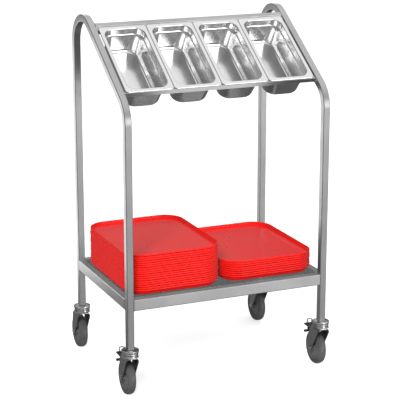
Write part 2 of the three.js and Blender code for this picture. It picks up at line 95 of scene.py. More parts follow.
INCLINE = (
    CART
    @ Matrix.Translation((0, 0, SLOPE_HEIGHT * MM))
    @ Matrix.Rotation(SLOPE, 4, "X")
)

# ------------------------------------------------------------------ camera

# The offset is in metres from the middle of the trolley's footprint, the angles are in degrees.
CAMERA_OFFSET = Vector((-2.0465, -4.7383, 2.0083))
CAMERA_PITCH = 15.204
CAMERA_YAW = 23.379
CAMERA_LENS = 133.2
SENSOR_WIDTH = 36

camera_data = bpy.data.cameras.new("camera")
camera_data.lens = CAMERA_LENS
camera_data.sensor_width = SENSOR_WIDTH
camera = bpy.data.objects.new("camera", camera_data)
camera.location = Vector((0, MIDDLE_Y, 0)) + CAMERA_OFFSET
camera.rotation_euler = (math.radians(90 - CAMERA_PITCH), 0, -math.radians(CAMERA_YAW))
bpy.context.scene.collection.objects.link(camera)
bpy.context.scene.camera = camera

# ------------------------------------------------------------------ mesh building

# Shorter than this counts as nothing, and a corner's share of a side stays below a half.
TINY = 1e-6
LARGEST_CORNER = 0.49


def ring(width, length, radius, z, steps, centre=(0, 0)):
    """Points round a level rectangle with rounded corners, anticlockwise from above."""
    x, y = width / 2 - radius, length / 2 - radius
    points = []
    for k, (cx, cy) in enumerate([(x, y), (-x, y), (-x, -y), (x, -y)]):
        for i in range(steps + 1):
            a = (k + i / steps) * math.pi / 2
            points.append(
                (
                    centre[0] + cx + radius * math.cos(a),
                    centre[1] + cy + radius * math.sin(a),
                    z,
                )
            )
    return points


def circle(radius, z, sides):
    """Points round a level circle about z."""
    turns = [2 * math.pi * i / sides for i in range(sides)]
    return [(radius * math.cos(t), radius * math.sin(t), z) for t in turns]


def rounded(corners, radius, steps):
    """A closed outline in two dimensions with rounded corners.

    A corner that has a third number is rounded by that instead of radius. No corner takes up
    more than LARGEST_CORNER of each side beside it.
    """
    points = []
    count = len(corners)
    for i in range(count):
        here = Vector(corners[i][:2])
        size = corners[i][2] if len(corners[i]) > 2 else radius
        back = Vector(corners[i - 1][:2]) - here
        ahead = Vector(corners[(i + 1) % count][:2]) - here
        half = back.angle(ahead) / 2
        limit = LARGEST_CORNER
        reach = min(size / math.tan(half), back.length * limit, ahead.length * limit)
        start = here + back.normalized() * reach
        end = here + ahead.normalized() * reach
        for k in range(steps + 1):
            t = k / steps
            points.append(
                tuple(start * (1 - t) ** 2 + here * 2 * t * (1 - t) + end * t * t)
            )
    return points


class Skin:
    """Points, faces and texture places of a piece while it is built, in millimetres."""

    def __init__(self):
        self.points = []
        self.faces = []
        self.places = []

    def loft(self, rings, wraps=False, caps=True, closed=True):
        """Joins rings of equally many points.

        wraps joins the last ring to the first, caps fills the two end rings where it doesn't,
        and closed joins the last point of each ring to its first.
        """
        base = len(self.points)
        count = len(rings[0])
        for points in rings:
            self.points.extend(Vector(p) for p in points)
        lengths = [0.0]
        for a, b in zip(rings, rings[1:] + rings[:1]):
            lengths.append(lengths[-1] + (Vector(a[0]) - Vector(b[0])).length)
        around = [0.0]
        widest = max(
            rings, key=lambda r: sum((Vector(r[i]) - Vector(r[i - 1])).length for i in range(count))
        )
        for i in range(count):
            side = (Vector(widest[i]) - Vector(widest[(i + 1) % count])).length
            around.append(around[-1] + side)
        bands = len(rings) if wraps else len(rings) - 1
        columns = count if closed else count - 1
        for k in range(bands):
            n = (k + 1) % len(rings)
            for i in range(columns):
                j = (i + 1) % count
                self.faces.append(
                    [base + k * count + i, base + k * count + j,
                     base + n * count + j, base + n * count + i]
                )
                self.places.append(
                    [(around[i], lengths[k]), (around[i + 1], lengths[k]),
                     (around[i + 1], lengths[k + 1]), (around[i], lengths[k + 1])]
                )
        if caps and not wraps:
            for k, turn in ((0, -1), (len(rings) - 1, 1)):
                face = [base + k * count + i for i in range(count)][::turn]
                self.faces.append(face)
                self.places.append([tuple(self.points[p][:2]) for p in face])
        return self

    def turned(self, profile, sides, matrix=None):
        """A solid of revolution about z from (radius, height) pairs, closed where radius is 0."""
        rings = [circle(r, z, sides) for r, z in profile if r > TINY]
        start = len(self.points)
        hollow = profile[0][0] > TINY
        self.loft(rings, caps=not hollow and profile[-1][0] <= TINY, wraps=hollow)
        return self.move(matrix, start)

    def move(self, matrix, start):
        """Moves the points from start onwards. No matrix leaves them where they are."""
        if matrix is not None:
            for i in range(start, len(self.points)):
                self.points[i] = matrix @ self.points[i]
        return self

    def prism(self, outline, low, high, bevel, matrix):
        """A flat outline drawn out along z from low to high, with bevelled ends."""
        start = len(self.points)

        def shrunk(by, z):
            out = []
            n = len(outline)
            for i in range(n):
                a, b, c = (Vector(outline[k % n]) for k in (i - 1, i, i + 1))
                t = (c - a).normalized()
                inward = Vector((-t.y, t.x))
                out.append((b.x + inward.x * by, b.y + inward.y * by, z))
            return out

        area = sum(
            outline[i - 1][0] * outline[i][1] - outline[i][0] * outline[i - 1][1]
            for i in range(len(outline))
        )
        sign = 1 if area > 0 else -1
        soft = bevel * 0.3
        self.loft([
            shrunk(sign * bevel, low), shrunk(sign * soft, low + soft), shrunk(0, low + bevel),
            shrunk(0, high - bevel), shrunk(sign * soft, high - soft), shrunk(sign * bevel, high),
        ])
        return self.move(matrix, start)

    def swept(self, path, section, up, scale=None):
        """section, in two dimensions, carried round a closed path of points."""
        rings = []
        count = len(path)
        for i in range(count):
            here = Vector(path[i])
            ahead = (Vector(path[(i + 1) % count]) - Vector(path[i - 1])).normalized()
            side = ahead.cross(up)
            side = side.normalized() if side.length > TINY else Vector((1, 0, 0))
            top = side.cross(ahead)
            size = scale[i] if scale else 1
            rings.append([tuple(here + (side * a + top * b) * size) for a, b in section])
        return self.loft(rings, wraps=True)


# Angles above which an edge stays crisp, in radians, and distances in metres.
SHARP = math.radians(38)
BEAD_SHARP = 1.2
SAME_POINT = 1e-6
NO_LENGTH = 1e-7
FACE_WEIGHT = 60


def piece(name, skin, look, placement, body, nodes=(), sharp=SHARP, is_sheet=False):
    """Makes the mesh object, gives it its material, and lets it ride on its CAD body.

    Edges that bend by sharp or more stay crisp. A sheet is open and gets its thickness from a
    modifier later, so its faces keep their side and it has no modifier for even normals.
    """
    mesh = bpy.data.meshes.new(name)
    mesh.from_pydata([placement @ (p * MM) for p in skin.points], [], skin.faces)
    layer = mesh.uv_layers.new(name="UVMap")
    flat = [uv for places in skin.places for uv in places]
    for loop, (u, v) in zip(layer.data, flat):
        loop.uv = (u * MM, v * MM)
    work = bmesh.new()
    work.from_mesh(mesh)
    bmesh.ops.remove_doubles(work, verts=work.verts, dist=SAME_POINT)
    bmesh.ops.dissolve_degenerate(work, edges=work.edges, dist=NO_LENGTH)
    if not is_sheet:
        bmesh.ops.recalc_face_normals(work, faces=work.faces)
    for edge in work.edges:
        edge.smooth = edge.calc_face_angle(0) < sharp
    for face in work.faces:
        face.smooth = True
    work.to_mesh(mesh)
    work.free()
    mesh.materials.append(look)
    thing = bpy.data.objects.new(name, mesh)
    bpy.context.scene.collection.objects.link(thing)
    if not is_sheet:
        normals = thing.modifiers.new("even_normals", "WEIGHTED_NORMAL")
        normals.keep_sharp = True
        normals.weight = FACE_WEIGHT
    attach(thing, body)
    if nodes:
        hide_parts(*nodes)
    return thing


# ------------------------------------------------------------------ materials


class Look:
    """A node material under construction, with one method for each kind of node."""

    def __init__(self, name, **sockets):
        self.material = bpy.data.materials.new(name)
        self.material.use_nodes = True
        self.tree = self.material.node_tree
        self.shader = self.tree.nodes["Principled BSDF"]
        for key, value in sockets.items():
            self.shader.inputs[key.replace("_", " ")].default_value = value

    def node(self, kind, inputs=None, **settings):
        made = self.tree.nodes.new("ShaderNode" + kind)
        for key, value in settings.items():
            setattr(made, key, value)
        for key, value in (inputs or {}).items():
            if isinstance(value, bpy.types.NodeSocket):
                self.tree.links.new(value, made.inputs[key])
            else:
                made.inputs[key].default_value = value
        return made

    def object_place(self):
        return self.node("TexCoord").outputs["Object"]

    def surface_place(self):
        return self.node("UVMap", uv_map="UVMap").outputs["UV"]

    def stretched(self, place, scale):
        return self.node("Mapping", {"Vector": place, "Scale": scale}).outputs["Vector"]

    def noise(self, place, scale, detail=3.0, rough=0.55, distortion=0.0):
        return self.node(
            "TexNoise",
            {"Vector": place, "Scale": scale, "Detail": detail, "Roughness": rough,
             "Distortion": distortion},
        ).outputs["Fac"]

    def ranged(self, value, low, high, from_low=0.25, from_high=0.75):
        return self.node(
            "MapRange",
            {"Value": value, "From Min": from_low, "From Max": from_high,
             "To Min": low, "To Max": high},
        ).outputs["Result"]

    def maths(self, operation, a, b):
        return self.node("Math", {0: a, 1: b}, operation=operation).outputs[0]

    def mixed(self, factor, a, b):
        made = self.node("Mix", data_type="RGBA")
        for key, value in ((0, factor), (6, a), (7, b)):
            if isinstance(value, bpy.types.NodeSocket):
                self.tree.links.new(value, made.inputs[key])
            else:
                made.inputs[key].default_value = value
        return made.outputs[2]

    def bumped(self, height, distance, strength=1.0, under=None):
        made = self.node("Bump", {"Height": height, "Distance": distance, "Strength": strength})
        if under is not None:
            self.tree.links.new(under, made.inputs["Normal"])
        return made.outputs["Normal"]

    def put(self, socket, value):
        self.tree.links.new(value, self.shader.inputs[socket])


def rgb(level, tint=(1, 1, 1)):
    """A grey of a given level, or the same level tinted."""
    return (level * tint[0], level * tint[1], level * tint[2], 1)


BRUSHED_DEPTH = 0.00001
SPANGLE = 160


def brushed_steel(name, light, dark, rough, across=1500, along=12):
    """Stainless steel with grain along the second texture direction."""
    look = Look(name, Metallic=1.0)
    place = look.surface_place()
    grain = look.noise(look.stretched(place, (across, along, 1)), 1, 4, 0.7)
    fine = look.noise(look.stretched(place, (across * 4, along * 3, 1)), 1, 2, 0.6)
    cloud = look.noise(look.object_place(), 7, 3, 0.5, 0.4)
    smudge = look.noise(look.object_place(), 38, 4, 0.6, 0.8)
    mix = look.maths("ADD", look.maths("MULTIPLY", grain, 0.5), look.maths("MULTIPLY", cloud, 0.5))
    look.put("Base Color", look.mixed(look.ranged(mix, 0, 1, 0.38, 0.62), dark, light))
    base = look.ranged(grain, rough - 0.05, rough + 0.06)
    base = look.maths("ADD", base, look.ranged(smudge, -0.02, 0.05, 0.4, 0.75))
    look.put("Roughness", base)
    normal = look.bumped(grain, BRUSHED_DEPTH)
    look.put("Normal", look.bumped(fine, BRUSHED_DEPTH * 0.4, under=normal))
    return look.material


def pan_steel():
    """Deep-drawn bright steel: slow ripples from the press, faint drawn lines, light scuffs."""
    look = Look("pan_steel", Metallic=1.0)
    place = look.object_place()
    ripple = look.noise(place, 22, 2, 0.4, 0.3)
    orange = look.noise(place, 260, 2, 0.5)
    drawn = look.noise(look.stretched(look.surface_place(), (900, 16, 1)), 1, 3, 0.6)
    scuff = look.noise(look.stretched(place, (500, 60, 60)), 1, 5, 0.7, 0.5)
    look.put("Base Color", look.mixed(look.ranged(ripple, 0, 1), rgb(0.72), rgb(0.77)))
    base = look.ranged(drawn, 0.16, 0.2)
    look.put("Roughness", look.maths("ADD", base, look.ranged(scuff, 0, 0.04, 0.5, 0.8)))
    normal = look.bumped(ripple, 0.0002)
    normal = look.bumped(orange, 0.000003, under=normal)
    look.put("Normal", look.bumped(drawn, 0.000002, under=normal))
    return look.material


def zinc(name, light, dark, rough):
    """Zinc plate over pressed steel: soft mottling and duller patches."""
    look = Look(name, Metallic=1.0)
    place = look.object_place()
    cells = look.node(
        "TexVoronoi", {"Vector": place, "Scale": SPANGLE, "Randomness": 1.0}
    ).outputs["Color"]
    tone = look.noise(place, 60, 4, 0.6, 0.6)
    grime = look.noise(place, 24, 3, 0.6)
    flat = look.node("RGBToBW", {"Color": cells}).outputs[0]
    mix = look.maths("ADD", look.maths("MULTIPLY", flat, 0.35), look.maths("MULTIPLY", tone, 0.65))
    look.put("Base Color", look.mixed(look.ranged(mix, 0, 1, 0.3, 0.7), dark, light))
    base = look.ranged(tone, rough - 0.05, rough + 0.08)
    look.put("Roughness", look.maths("ADD", base, look.ranged(grime, 0, 0.1, 0.5, 0.8)))
    look.put("Normal", look.bumped(tone, 0.00012, 0.6))
    return look.material


def moulded(name, light, dark, rough, grain=900, bump=0.00004, scuffs=0.1, level=0.5):
    """A moulded plastic or rubber: slight tone changes, fine grain, scuffs."""
    look = Look(name)
    look.shader.inputs["Specular IOR Level"].default_value = level
    place = look.object_place()
    tone = look.noise(place, 18, 4, 0.55, 0.5)
    speck = look.noise(place, grain, 3, 0.6)
    marks = look.noise(look.stretched(place, (420, 90, 420)), 1, 5, 0.75, 0.8)
    both = look.maths("ADD", look.maths("MULTIPLY", tone, 0.7), look.maths("MULTIPLY", speck, 0.3))
    look.put("Base Color", look.mixed(look.ranged(both, 0, 1, 0.35, 0.65), dark, light))
    base = look.ranged(tone, rough - 0.04, rough + 0.05)
    look.put("Roughness", look.maths("ADD", base, look.ranged(marks, 0, scuffs, 0.52, 0.8)))
    look.put("Normal", look.bumped(speck, bump))
    return look.material


FRAME_STEEL = brushed_steel("frame_steel", rgb(0.50), rgb(0.42), 0.34)
WELD_STEEL = brushed_steel(
    "weld_steel", rgb(0.56, (1, 0.98, 0.94)), rgb(0.42), 0.38, across=300, along=300
)
SHELF_STEEL = brushed_steel("shelf_steel", rgb(0.36), rgb(0.30), 0.26, across=1200, along=10)
PAN_STEEL = pan_steel()
ZINC = zinc("zinc", rgb(0.58, (1, 1.01, 1.02)), rgb(0.40), 0.3)
BRIGHT_ZINC = zinc("bright_zinc", rgb(0.78), rgb(0.62), 0.2)
RUBBER = moulded(
    "tyre_rubber", rgb(0.08), rgb(0.045), 0.42, grain=500, bump=0.00006, scuffs=0.12
)
NYLON = moulded("wheel_centre", rgb(0.12), rgb(0.09), 0.42)
BLACK = moulded("black_polymer", rgb(0.03), rgb(0.018), 0.42, grain=700, bump=0.00008)
RED = moulded(
    "red_polymer", (0.77, 0.010, 0.007, 1), (0.72, 0.008, 0.005, 1), 0.3,
    grain=1500, bump=0.00001, level=0.2,
)

# ------------------------------------------------------------------ side frames

BEND_RADIUS = 97.5
REAR_BEND_STEPS = 36
FRONT_BEND_STEPS = 20
TUBE_WALL = 1.5
CORNER = 3.0
CORNER_STEPS = 5


def tube_stations():
    """[y, z, direction] along the bent tube's centre line, up the rear leg and down the front."""
    up, down_slope, down = math.pi / 2, math.pi + SLOPE, 1.5 * math.pi
    height = SLOPE_HEIGHT - TUBE / 2 / math.cos(SLOPE)

    def bend(y, start, end, steps):
        z = height + y * math.tan(SLOPE) - BEND_RADIUS / math.cos(SLOPE)
        turns = [start + (end - start) * i / steps for i in range(steps + 1)]
        return [
            (y + BEND_RADIUS * math.sin(t), z - BEND_RADIUS * math.cos(t), t) for t in turns
        ]

    return (
        [(LEG_Y, LEG_BOTTOM, up)]
        + bend(LEG_Y - BEND_RADIUS, up, down_slope, REAR_BEND_STEPS)
        + bend(BEND_RADIUS - LEG_Y, down_slope, down, FRONT_BEND_STEPS)
        + [(-LEG_Y, LEG_BOTTOM, down)]
    )


def side_frame(x):
    """One side frame: a bent square tube at x with its own wall thickness and open ends."""

    def rings(size, corner):
        return [
            [
                (x + p[0], y - p[1] * math.sin(t), z + p[1] * math.cos(t))
                for p in ring(size, size, corner, 0, CORNER_STEPS)
            ]
            for y, z, t in tube_stations()
        ]

    outside = rings(TUBE, CORNER)
    inside = rings(TUBE - 2 * TUBE_WALL, CORNER - TUBE_WALL)
    return Skin().loft(outside + inside[::-1], wraps=True)


for side, x in (("left", -LEG_X), ("right", LEG_X)):
    name = "side_frame_" + side
    piece(name + "_tube", side_frame(x), FRAME_STEEL, CART, "frame", [name])

# ------------------------------------------------------------------ lower shelf


def box_tube(node, axis):
    """A rectangular tube with rounded edges that fills a CAD rail's box, along axis 0 or 1."""
    low, high = extent_in(node, CART)
    across = 1 - axis
    size = high - low
    middle = (high + low) / 2
    rings = []
    for wall, ends in ((0, (low[axis], high[axis])), (TUBE_WALL, (high[axis], low[axis]))):
        for end in ends:
            points = []
            wide, tall = size[across] - 2 * wall, size.z - 2 * wall
            for p in ring(wide, tall, CORNER - wall, 0, CORNER_STEPS):
                spot = [0, 0, middle.z + p[1]]
                spot[axis] = end
                spot[across] = middle[across] + p[0]
                points.append(tuple(spot))
            rings.append(points)
    return Skin().loft(rings, wraps=True)


for side, axis in (("front", 0), ("rear", 0), ("left", 1), ("right", 1)):
    node = "shelf_rail_" + side
    piece(node + "_tube", box_tube(node, axis), FRAME_STEEL, CART, "frame", [node])

shelf_low, shelf_high = extent_in("shelf_panel", CART)
SHELF_FOLD = 2.2
SHELF_FOLD_STEPS = 6
SHELF_CORNER = 2.5
SHELF_SHEET = 1.2


def shelf_sheet():
    """The shelf's sheet: a level top with its edges folded down."""
    width, length = shelf_high.x - shelf_low.x, shelf_high.y - shelf_low.y
    levels = []
    for k in range(SHELF_FOLD_STEPS + 1):
        a = k / SHELF_FOLD_STEPS * math.pi / 2
        inset = SHELF_FOLD * (1 - math.sin(a))
        levels.append((inset, shelf_high.z - SHELF_FOLD * (1 - math.cos(a))))
    levels.append((0, shelf_low.z))
    levels.append((SHELF_SHEET, shelf_low.z))
    levels.append((SHELF_SHEET, shelf_high.z - SHELF_FOLD))
    levels.append((SHELF_FOLD, shelf_high.z - SHELF_SHEET))
    rings = [
        ring(width - 2 * inset, length - 2 * inset, SHELF_CORNER, z, 4) for inset, z in levels
    ]
    return Skin().loft(rings)


piece("shelf_sheet", shelf_sheet(), SHELF_STEEL, CART, "frame", ["shelf_panel"])

BEAD_SPACING = 0.9
BEAD_RIPPLE = 2.7
BEAD_SIDES = 8
GROUND_OFF = 0.18
GROUND_BAND = 1.2
SHELF_BEAD = 1.5
RAIL_BEAD = 1.2


def bead(skin, outline, to_point, radius, flush):
    """A weld bead round a closed outline. flush(a, b) is true where it was ground off."""
    length = 0.0
    path, sizes = [], []
    count = len(outline)
    for i in range(count):
        a, b = Vector(outline[i]), Vector(outline[(i + 1) % count])
        steps = max(1, round((b - a).length / BEAD_SPACING))
        for k in range(steps):
            spot = a.lerp(b, k / steps)
            length += (b - a).length / steps
            # A weld's ripple, and a slower wave over it.
            ripple = 1 + 0.16 * math.sin(length * 2 * math.pi / BEAD_RIPPLE)
            ripple += 0.08 * math.sin(length * 0.83)
            sizes.append(GROUND_OFF if flush(spot.x, spot.y) else ripple)
            path.append(to_point(spot.x, spot.y))
    smooth = [
        (sizes[i - 1] + 2 * sizes[i] + sizes[(i + 1) % len(sizes)]) / 4 for i in range(len(sizes))
    ]
    section = [p[:2] for p in circle(radius, 0, BEAD_SIDES)]
    normal = Vector(to_point(0, 0, 1)) - Vector(to_point(0, 0))
    skin.swept(path, section, normal, smooth)


def shelf_welds():
    """Beads where the four shelf rails meet the legs."""
    skin = Skin()
    for node, axis in (("shelf_rail_front", 0), ("shelf_rail_rear", 0),
                       ("shelf_rail_left", 1), ("shelf_rail_right", 1)):
        low, high = extent_in(node, CART)
        across = 1 - axis
        middle = (low + high) / 2
        outer = -1 if middle[across] < 0 else 1
        edge = (high[across] - low[across]) / 2
        top = (high.z - low.z) / 2
        outline = [
            p[:2] for p in ring(high[across] - low[across], high.z - low.z, CORNER, 0, 4)
        ]
        for end, way in ((low[axis], 1), (high[axis], -1)):

            def to_point(a, b, out=0, end=end, way=way):
                spot = [0, 0, middle.z + b]
                spot[across] = middle[across] + a
                spot[axis] = end + way * out
                return tuple(spot)

            bead(skin, outline, to_point, SHELF_BEAD,
                 lambda a, b: a * outer > edge - GROUND_BAND or b > top - GROUND_BAND)
    return skin


piece("shelf_weld_beads", shelf_welds(), WELD_STEEL, CART, "frame",
      sharp=BEAD_SHARP)

# ------------------------------------------------------------------ sloping pan rails

RAIL_CORNER = 1.2
RAIL_TOP_BAND = 1
SAME_LEVEL = 0.5


def pan_rail(node, corners):
    """A folded rail along x with corners given in its own (y, z)."""
    low, high = extent_in(node, INCLINE)
    outline = rounded(corners, RAIL_CORNER, 4)
    rings = [[(x, a, b) for a, b in outline] for x in (low.x, high.x)]
    return Skin().loft(rings)


def rail_corners(node):
    """(y, z) corners of a pan rail. The rear one has a step that the pans' rear edges lie on."""
    low, high = extent_in(node, INCLINE)
    if node == "pan_rail_front":
        return [(low.y, low.z), (high.y, low.z), (high.y, high.z), (low.y, high.z)]
    flat = [INCLINE.inverted() @ v.co / MM for v in frame["nodes"][node].data.vertices]
    step = min(v.y for v in flat if v.z > high.z - SAME_LEVEL)
    seat = max(v.z for v in flat if v.y < low.y + SAME_LEVEL)
    return [
        (low.y, low.z), (high.y, low.z), (high.y, high.z, 2.5), (step, high.z, 2.0),
        (step, seat, 1.0), (low.y, seat),
    ]


for side in ("front", "rear"):
    node = "pan_rail_" + side
    skin = pan_rail(node, rail_corners(node))
    piece(node + "_section", skin, FRAME_STEEL, INCLINE, "frame", [node])


def rail_welds():
    """Beads where the two pan rails meet the side frames."""
    skin = Skin()
    for node in ("pan_rail_front", "pan_rail_rear"):
        low, high = extent_in(node, INCLINE)
        outline = rounded(rail_corners(node), RAIL_CORNER, 3)
        for end, way in ((low.x, 1), (high.x, -1)):
            bead(skin, outline, lambda a, b, out=0, end=end, way=way: (end + way * out, a, b),
                 RAIL_BEAD, lambda a, b: b > high.z - RAIL_TOP_BAND)
    return skin


piece("rail_weld_beads", rail_welds(), WELD_STEEL, INCLINE, "frame",
      sharp=BEAD_SHARP)

# ------------------------------------------------------------------ pans

PAN_SHEET = 1.0
PAN_WIDTH = 176.0
PAN_MOUTH = 31.0
PAN_LIP = -4.0
FLANGE_CORNER = 12
FLANGE_EDGE = 2.4
FLANGE_INSIDE = 11.6
PAN_CORNER_STEPS = 14


def arc(centre, radius, start, end, steps):
    """(inset, height) pairs round an arc, angles in degrees from the +inset direction."""
    return [
        (
            centre[0] + radius * math.cos(math.radians(start + (end - start) * i / steps)),
            centre[1] + radius * math.sin(math.radians(start + (end - start) * i / steps)),
        )
        for i in range(steps + 1)
    ]


def pan_levels(depth):
    """(inset, height) from the middle of the floor to the flange's edge, along the inside."""
    floor = -depth + PAN_SHEET
    levels = [(60, floor + 0.5), (48, floor + 0.3), (38, floor + 0.05)]
    levels += arc((35.5, floor + 13), 13, 270, 186, 10)
    levels += [(21.0, -60), (19.0, -34)]
    levels += [(18.3, -28.4), (18.0, -26.8), (17.2, -25.8), (16.2, -25.2), (15.6, -24.2)]
    levels += [(15.4, -22), (15.0, -12), (14.9, -6)]
    levels += arc((11.6, -3.2), 3.2, 0, 90, 6)
    levels += [(3.2, 0.0)]
    levels += arc((2.3, -2.3), 2.3, 90, 180, 6)
    return levels


def pan(low, high):
    """A drawn pan: its inside, rolled flange and underside, from the extent of its CAD node."""
    length, depth = high.y - low.y, high.z - low.z
    middle = ((low.x + high.x) / 2, (high.y + low.y) / 2)

    def corner(inset, z):
        """Corner radius at a level: small on the flange, large in the mouth, less on the floor."""
        if inset <= FLANGE_EDGE:
            return FLANGE_CORNER - inset
        if inset < FLANGE_INSIDE:
            t = (inset - FLANGE_EDGE) / (FLANGE_INSIDE - FLANGE_EDGE)
            edge = FLANGE_CORNER - FLANGE_EDGE
            return edge + (PAN_MOUTH + 2 - edge) * t
        down = min(1, max(0, -z / depth))
        return max(6, PAN_MOUTH + 9 * down - max(0, inset - 22) * 0.62)

    sheet = PAN_SHEET
    outside = [(0, PAN_LIP + 0.5), (0.4, PAN_LIP), (0.9, PAN_LIP + 0.4), (1.1, -2.4)]
    outside += [(2.6, -sheet), (10.5, -sheet)]
    outside += [(13.6, -5), (13.9, -12), (14.3, -22.4), (14.6, -25.2), (16.6, -27), (17.2, -29)]
    outside += [(18.0, -35), (20.0, -60), (21.4, -85)]
    outside += [(22.4, -90), (25.2, -95.5), (29.5, -99), (35.5, -depth), (60, -depth)]
    rings = [
        ring(PAN_WIDTH - 2 * i, length - 2 * i, corner(i, z), z, PAN_CORNER_STEPS, middle)
        for i, z in pan_levels(depth) + outside
    ]
    return Skin().loft(rings)


for i in range(1, 5):
    node = f"pan_{i}"
    skin = pan(*extent_in(node, INCLINE))
    piece(node + "_bowl", skin, PAN_STEEL, INCLINE, node + "_lift", [node])

# ------------------------------------------------------------------ trays

TRAY_CORNER = 74
TRAY_CORNER_STEPS = 12


def tray_levels(height):
    """(inset, corner radius, height) over the tray's inside, round its rim and underneath."""
    levels = [(40, 2.2), (33, 2.2), (26, 2.4), (19, 2.9), (14, 3.8), (10.8, 5), (8.4, 6.9)]
    levels += [(7, 10.2), (5.7, height - 6.8), (4.9, height - 4.4), (4.4, height - 2.4)]
    levels += [(3.9, height - 1), (3.3, height - 0.3), (2.6, height), (1.8, height - 0.1)]
    levels += [(0.8, height - 0.8), (0.15, height - 2)]
    levels += [(0, height - 3.4), (0.1, height - 4.6), (0.7, height - 5.5)]
    levels += [(1.5, height - 5.6), (2.2, height - 5), (2.5, height - 3.9), (3.4, height - 3.6)]
    levels += [(4.1, height - 4.6), (4.9, height - 7), (6.4, 9.6), (8.5, 4.2), (9.5, 2)]
    levels += [(11.4, 0.6), (15, 0), (22, 0), (40, 0)]
    return [(inset, TRAY_CORNER - inset, z) for inset, z in levels]


for side in ("left", "right"):
    names = [n for n in sorted(frame["nodes"]) if n.startswith(f"tray_{side}_")]
    for node in names:
        low, high = extent_in(node, CART)
        size, middle = high - low, (high + low) / 2
        rings = [
            ring(size.x - 2 * inset, size.y - 2 * inset, radius, low.z + z, TRAY_CORNER_STEPS,
                 (middle.x, middle.y))
            for inset, radius, z in tray_levels(size.z)
        ]
        body = ("top_tray_" if node == names[-1] else "tray_stack_") + side
        tray = piece(
            node + "_moulding", Skin().loft(rings), RED, CART, body, [node]
        )
        # Other surfaces don't reflect the trays.
        tray.visible_glossy = False

# ------------------------------------------------------------------ castors

# A castor's own frame has the swivel's axis at x = y = 0 and the wheel behind it, towards +Y.
WHEEL_R = 62.5
TRAIL = 36.0
ROUND_SIDES = 56
WHEEL_SIDES = 96
CROWN_TOP = 150.0
CROWN_BEND = 12.0
FORK_HALF_WIDTH = 23.0
FORK_EAR = 14
FORK_SHEET = 2.5
FORK_BEVEL = 0.6
FORK_STEPS = 8
FORK_ACROSS = 18
EAR_START = 16
FRONT_REACH = 51
REAR_TAPER = 11
CROWN_FROM = 128
FLARE = 1.6
FLARE_BAND = 4.5
FLARE_LOW, FLARE_HIGH = 66, 140
SIDEWAYS = Matrix.Rotation(math.pi / 2, 4, "Y")


def castor_mount():
    """The fixed head: stem, dished housing, ball groove and the kingpin's riveted end."""
    profile = [
        (0, 226), (8.5, 226), (9.5, 225), (9.5, 176), (12.6, 175.2), (13, 172.2), (14, 171.2),
        (21.5, 170.9), (23.6, 171.8), (24.6, 174.0), (25.6, 175.3), (27, 175.7), (29.4, 175.6),
        (30.6, 174.8), (31, 173.4), (31, 169.6), (30.6, 168.3), (29.6, 167.5), (28.0, 167.0),
        (27.2, 166.2), (27.1, 165.2), (27.6, 164.4), (28.6, 163.9), (29.2, 163.0), (29.3, 161.8),
        (28.8, 160.6), (27.8, 160.0), (6.0, 160.0), (6.0, 147.2), (9.6, 147.0), (10, 146.4),
        (8.8, 144.2), (5, 143.5), (0, 143.5),
    ]
    return Skin().turned(profile, ROUND_SIDES)


def fork_edges(z):
    """Front and rear edge of a fork leg at a height."""
    if z < WHEEL_R:
        half = math.sqrt(max(0, FORK_EAR ** 2 - (WHEEL_R - z) ** 2))
        return TRAIL - half, TRAIL + half
    t = (z - WHEEL_R) / (CROWN_TOP - WHEEL_R)
    front = TRAIL - FORK_EAR - FRONT_REACH * (0.62 * t + 0.38 * t * t * (3 - 2 * t))
    rear = TRAIL + FORK_EAR - REAR_TAPER * t * t
    return front, rear


def fork():
    """The pressed fork: one curved sheet over the wheel, still without its thickness."""
    outer, top, bend = FORK_HALF_WIDTH, CROWN_TOP, CROWN_BEND
    section = []
    for k in range(FORK_STEPS + 1):
        a = math.radians(EAR_START + (90 - EAR_START) * k / FORK_STEPS)
        section.append((outer, WHEEL_R - FORK_EAR * math.cos(a)))
    section += [(outer, z) for z in (70, 80, 90, 100, 110, 118, 125, 131)]
    for k in range(FORK_STEPS + 1):
        a = math.pi / 2 * k / FORK_STEPS
        section.append((outer - bend * (1 - math.cos(a)), top - bend + bend * math.sin(a)))
    section += [(8, top), (4, top), (0, top)]
    section += [(-x, z) for x, z in section[-2::-1]]
    rows = []
    for x, z in section:
        front, rear = fork_edges(z)
        # The crown's corners are drawn in.
        climb = (z - CROWN_FROM) / (CROWN_TOP - CROWN_FROM)
        ease = 0.5 - 0.5 * math.cos(math.pi * min(1, max(0, climb)))
        front += ease * 0.0040 * x * x
        rear -= ease * 0.0045 * x * x
        row = []
        for i in range(FORK_ACROSS + 1):
            t = i / FORK_ACROSS
            y = front + (rear - front) * t
            # The legs' edges are turned outwards.
            edge = min(t, 1 - t) * (rear - front)
            flare = 0
            if FLARE_LOW < z < FLARE_HIGH:
                flare = FLARE * max(0, 1 - edge / FLARE_BAND) ** 2
            row.append((x + math.copysign(flare, x), y, z))
        rows.append(row)
    return Skin().loft(rows, caps=False, closed=False)


def fork_race():
    """The lower ball race on the crown."""
    profile = [
        (7.2, 159.4), (26.6, 159.4), (27.9, 158.8), (28.6, 157.4), (28.7, 155.8), (28.1, 154.4),
        (27.3, 153.4), (27.6, 152.4), (29, 151.2), (30.2, 150.4), (28, 149.2), (7.2, 149.2),
    ]
    return Skin().turned(profile, ROUND_SIDES)


